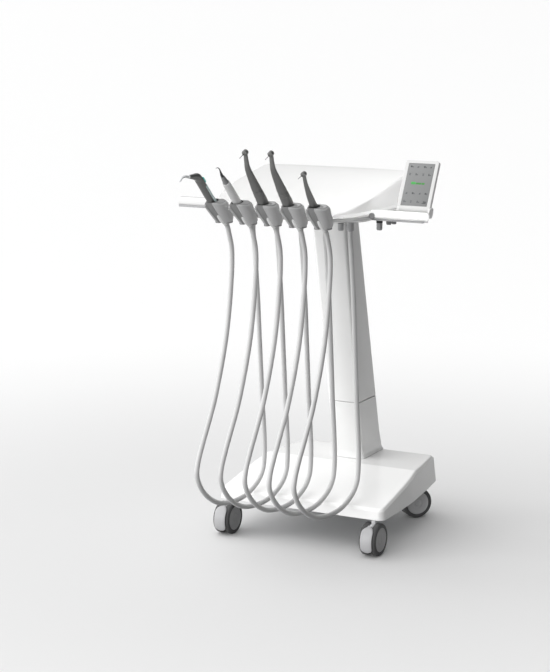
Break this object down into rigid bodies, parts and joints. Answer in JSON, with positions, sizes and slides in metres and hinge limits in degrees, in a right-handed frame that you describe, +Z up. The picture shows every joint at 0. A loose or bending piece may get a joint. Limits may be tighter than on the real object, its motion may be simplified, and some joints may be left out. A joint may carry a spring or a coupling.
{
  "type": "portable dental unit",
  "caption": "Wheeled dental delivery unit: wedge-shaped table on a leaning column over a caster base, with forward-leaning instruments on looped hoses, a side handle and a tilting display.",
  "frame": {"origin": "on the floor, under the middle of the unit's box, hoses left out", "axes": "+X to the user's right, where the display is, +Y to the back, +Z up; the instruments lean towards -Y"},
  "size_m": [0.632, 0.7128, 0.9362],
  "materials": {
    "white": "glossy moulded",
    "plate": "satin",
    "holder": "fine grain",
    "hose": "smooth matt silicone",
    "socket": "satin",
    "dark_metal": "dark satin coating",
    "scaler_sleeve": "satin",
    "tip_metal": "polished",
    "nozzle": "satin",
    "button": "satin",
    "caster": "gloss",
    "wheel": "satin",
    "pedal": "satin",
    "fitting": "satin",
    "screen": "glossy"
  },
  "bodies": {
    "unit": {"base_cover": "white", "column_lower_cover": "white", "column_upper_cover": "white", "table_cover": "white", "table_pan": "white", "left_handle": "white", "right_rail": "white", "display_bracket": "white", "base_plate": "plate", "mast": "plate", "holder_1": "holder", "holder_2": "holder", "holder_3": "holder", "holder_4": "holder", "holder_5": "holder", "hose_1": "hose", "hose_2": "hose", "hose_3": "hose", "hose_4": "hose", "hose_5": "hose", "hose_socket_1": "socket", "hose_socket_2": "socket", "hose_socket_3": "socket", "hose_socket_4": "socket", "hose_socket_5": "socket", "syringe_body": "dark_metal", "motor_a": "dark_metal", "motor_b": "dark_metal", "turbine": "dark_metal", "scaler_body": "scaler_sleeve", "scaler_tip": "tip_metal", "supply_coupling_1": "fitting", "supply_coupling_2": "fitting", "rail_cap": "fitting"},
    "caster_front_left": {"caster_body_front_left": "caster"},
    "wheel_front_left_left": {"wheel_front_left_left": "wheel"},
    "wheel_front_left_right": {"wheel_front_left_right": "wheel"},
    "pedal_front_left": {"brake_pedal_front_left": "pedal"},
    "caster_front_right": {"caster_body_front_right": "caster"},
    "wheel_front_right_left": {"wheel_front_right_left": "wheel"},
    "wheel_front_right_right": {"wheel_front_right_right": "wheel"},
    "pedal_front_right": {"brake_pedal_front_right": "pedal"},
    "caster_rear_left": {"caster_body_rear_left": "caster"},
    "wheel_rear_left_left": {"wheel_rear_left_left": "wheel"},
    "wheel_rear_left_right": {"wheel_rear_left_right": "wheel"},
    "caster_rear_right": {"caster_body_rear_right": "caster"},
    "wheel_rear_right_left": {"wheel_rear_right_left": "wheel"},
    "wheel_rear_right_right": {"wheel_rear_right_right": "wheel"},
    "display": {"display_housing": "white", "display_screen": "screen"},
    "knob_1": {"regulator_knob_1": "fitting"},
    "knob_2": {"regulator_knob_2": "fitting"},
    "nozzle": {"syringe_nozzle": "nozzle"},
    "button_left": {"syringe_button_left": "button"},
    "button_right": {"syringe_button_right": "button"},
    "contra_a": {"contra_angle_a": "dark_metal"},
    "bur_a": {"contra_bur_a": "tip_metal"},
    "contra_b": {"contra_angle_b": "dark_metal"},
    "bur_b": {"contra_bur_b": "tip_metal"},
    "turbine_bur": {"turbine_bur": "tip_metal"}
  },
  "joints": [
    {"name": "swivel_front_left", "type": "hinge", "parent": "unit", "child": "caster_front_left", "pos_m": [-0.1895, -0.01255, 0.0375], "axis": [0, 0, 1], "continuous": true},
    {"name": "roll_front_left_left", "type": "hinge", "parent": "caster_front_left", "child": "wheel_front_left_left", "pos_m": [-0.2025, -0.03655, 0.0375], "axis": [1, 0, 0], "continuous": true},
    {"name": "roll_front_left_right", "type": "hinge", "parent": "caster_front_left", "child": "wheel_front_left_right", "pos_m": [-0.1765, -0.03655, 0.0375], "axis": [1, 0, 0], "continuous": true},
    {"name": "brake_front_left", "type": "hinge", "parent": "caster_front_left", "child": "pedal_front_left", "pos_m": [-0.1895, -0.03655, 0.0375], "axis": [1, 0, 0], "range_deg": [0, 15]},
    {"name": "swivel_front_right", "type": "hinge", "parent": "unit", "child": "caster_front_right", "pos_m": [0.1895, -0.01255, 0.0375], "axis": [0, 0, 1], "continuous": true},
    {"name": "roll_front_right_left", "type": "hinge", "parent": "caster_front_right", "child": "wheel_front_right_left", "pos_m": [0.1765, -0.03655, 0.0375], "axis": [1, 0, 0], "continuous": true},
    {"name": "roll_front_right_right", "type": "hinge", "parent": "caster_front_right", "child": "wheel_front_right_right", "pos_m": [0.2025, -0.03655, 0.0375], "axis": [1, 0, 0], "continuous": true},
    {"name": "brake_front_right", "type": "hinge", "parent": "caster_front_right", "child": "pedal_front_right", "pos_m": [0.1895, -0.03655, 0.0375], "axis": [1, 0, 0], "range_deg": [0, 15]},
    {"name": "swivel_rear_left", "type": "hinge", "parent": "unit", "child": "caster_rear_left", "pos_m": [-0.162, 0.31545, 0.0375], "axis": [0, 0, 1], "continuous": true},
    {"name": "roll_rear_left_left", "type": "hinge", "parent": "caster_rear_left", "child": "wheel_rear_left_left", "pos_m": [-0.18526, 0.30116, 0.0375], "axis": [0.866, -0.5, 0], "continuous": true},
    {"name": "roll_rear_left_right", "type": "hinge", "parent": "caster_rear_left", "child": "wheel_rear_left_right", "pos_m": [-0.16274, 0.28816, 0.0375], "axis": [0.866, -0.5, 0], "continuous": true},
    {"name": "swivel_rear_right", "type": "hinge", "parent": "unit", "child": "caster_rear_right", "pos_m": [0.162, 0.31545, 0.0375], "axis": [0, 0, 1], "continuous": true},
    {"name": "roll_rear_right_left", "type": "hinge", "parent": "caster_rear_right", "child": "wheel_rear_right_left", "pos_m": [0.13612, 0.30676, 0.0375], "axis": [0.7314, -0.682, 0], "continuous": true},
    {"name": "roll_rear_right_right", "type": "hinge", "parent": "caster_rear_right", "child": "wheel_rear_right_right", "pos_m": [0.15514, 0.28903, 0.0375], "axis": [0.7314, -0.682, 0], "continuous": true},
    {"name": "display_tilt", "type": "hinge", "parent": "unit", "child": "display", "pos_m": [0.2687, -0.01555, 0.794], "axis": [1, 0, 0], "range_deg": [-45, 20]},
    {"name": "knob_turn_1", "type": "hinge", "parent": "unit", "child": "knob_1", "pos_m": [0.206, -0.01055, 0.762], "axis": [0, 0, 1], "range_deg": [-540, 540]},
    {"name": "knob_turn_2", "type": "hinge", "parent": "unit", "child": "knob_2", "pos_m": [0.22, -0.01055, 0.762], "axis": [0, 0, 1], "range_deg": [-540, 540]},
    {"name": "nozzle_turn", "type": "hinge", "parent": "unit", "child": "nozzle", "pos_m": [-0.123, -0.31654, 0.87311], "axis": [0, -0.9857, 0.1687], "continuous": true},
    {"name": "button_press_left", "type": "slide", "parent": "unit", "child": "button_left", "axis": [0, -0.6947, -0.7193], "range_m": [0, 0.0015], "stiffness_N_per_m": 300},
    {"name": "button_press_right", "type": "slide", "parent": "unit", "child": "button_right", "axis": [0, -0.6947, -0.7193], "range_m": [0, 0.0015], "stiffness_N_per_m": 300},
    {"name": "contra_swivel_a", "type": "hinge", "parent": "unit", "child": "contra_a", "pos_m": [0, -0.23827, 0.843], "axis": [0, -0.6756, 0.7373], "continuous": true},
    {"name": "bur_spin_a", "type": "hinge", "parent": "contra_a", "child": "bur_a", "pos_m": [0, -0.29078, 0.92916], "axis": [0, -0.9231, -0.3845], "continuous": true},
    {"name": "contra_swivel_b", "type": "hinge", "parent": "unit", "child": "contra_b", "pos_m": [0.0615, -0.23827, 0.843], "axis": [0, -0.6756, 0.7373], "continuous": true},
    {"name": "bur_spin_b", "type": "hinge", "parent": "contra_b", "child": "bur_b", "pos_m": [0.0615, -0.29078, 0.92916], "axis": [0, -0.9231, -0.3845], "continuous": true},
    {"name": "bur_spin_turbine", "type": "hinge", "parent": "unit", "child": "turbine_bur", "pos_m": [0.123, -0.25898, 0.88612], "axis": [0, -0.9577, -0.2878], "continuous": true}
  ]
}
